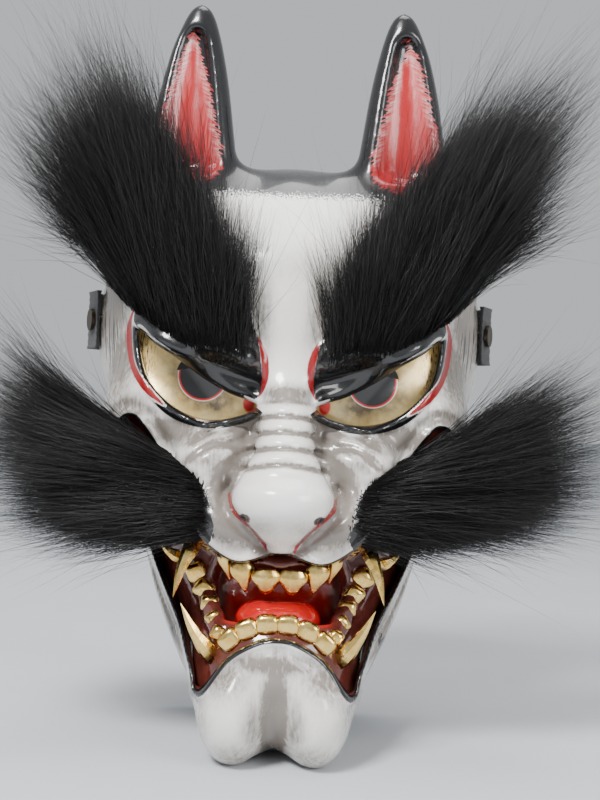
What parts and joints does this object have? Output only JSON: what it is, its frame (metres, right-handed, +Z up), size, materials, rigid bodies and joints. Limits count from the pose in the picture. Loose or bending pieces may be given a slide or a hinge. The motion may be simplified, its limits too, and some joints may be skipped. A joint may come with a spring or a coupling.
{
  "type": "noh mask",
  "caption": "Fox-demon face mask in lacquered paper with cupped ears, brass fangs, hair brows and moustaches, open fanged mouth and a head strap.",
  "frame": {"origin": "on the mask's middle line, in the plane of its rear rim, at eye level", "axes": "+Z up, the face looks towards -Y, +X to the viewer's right; the rear rim lies in the plane Y = 0"},
  "size_m": [0.3108, 0.1994, 0.3925],
  "materials": {
    "white_lacquer": "white shell-lime paint with clear gloss over layered paper",
    "black_lacquer": "black gloss lacquer with red painted cups",
    "maroon_lacquer": "dark red gloss lacquer",
    "red_lacquer": "bright red gloss lacquer",
    "brass": "polished brass leaf with dark toning",
    "hide": "thin dark leather backing of the hair",
    "black_hair": "long coarse black animal hair",
    "felt": "grey wool felt",
    "webbing": "black woven elastic band",
    "rivet_metal": "dark brass"
  },
  "bodies": {
    "root": {"face_shell": "white_lacquer", "left_ear": "black_lacquer", "right_ear": "black_lacquer", "mouth_lining": "maroon_lacquer", "tongue": "red_lacquer", "upper_left_fang": "brass", "upper_right_fang": "brass", "lower_left_fang": "brass", "lower_right_fang": "brass", "upper_left_side_fang": "brass", "upper_right_side_fang": "brass", "upper_front_teeth": "brass", "lower_front_teeth": "brass", "lower_left_molars": "brass", "lower_right_molars": "brass", "upper_left_molars": "brass", "upper_right_molars": "brass", "left_eye_plate": "brass", "right_eye_plate": "brass", "left_pupil_gauze": "webbing", "right_pupil_gauze": "webbing", "left_brow_hide": "hide", "right_brow_hide": "hide", "left_brow_fur": "black_hair", "right_brow_fur": "black_hair", "left_moustache_hide": "hide", "right_moustache_hide": "hide", "left_moustache_fur": "black_hair", "right_moustache_fur": "black_hair", "forehead_pad": "felt", "chin_pad": "felt", "head_strap": "webbing", "left_strap_rivet": "rivet_metal", "right_strap_rivet": "rivet_metal"}
  },
  "joints": []
}
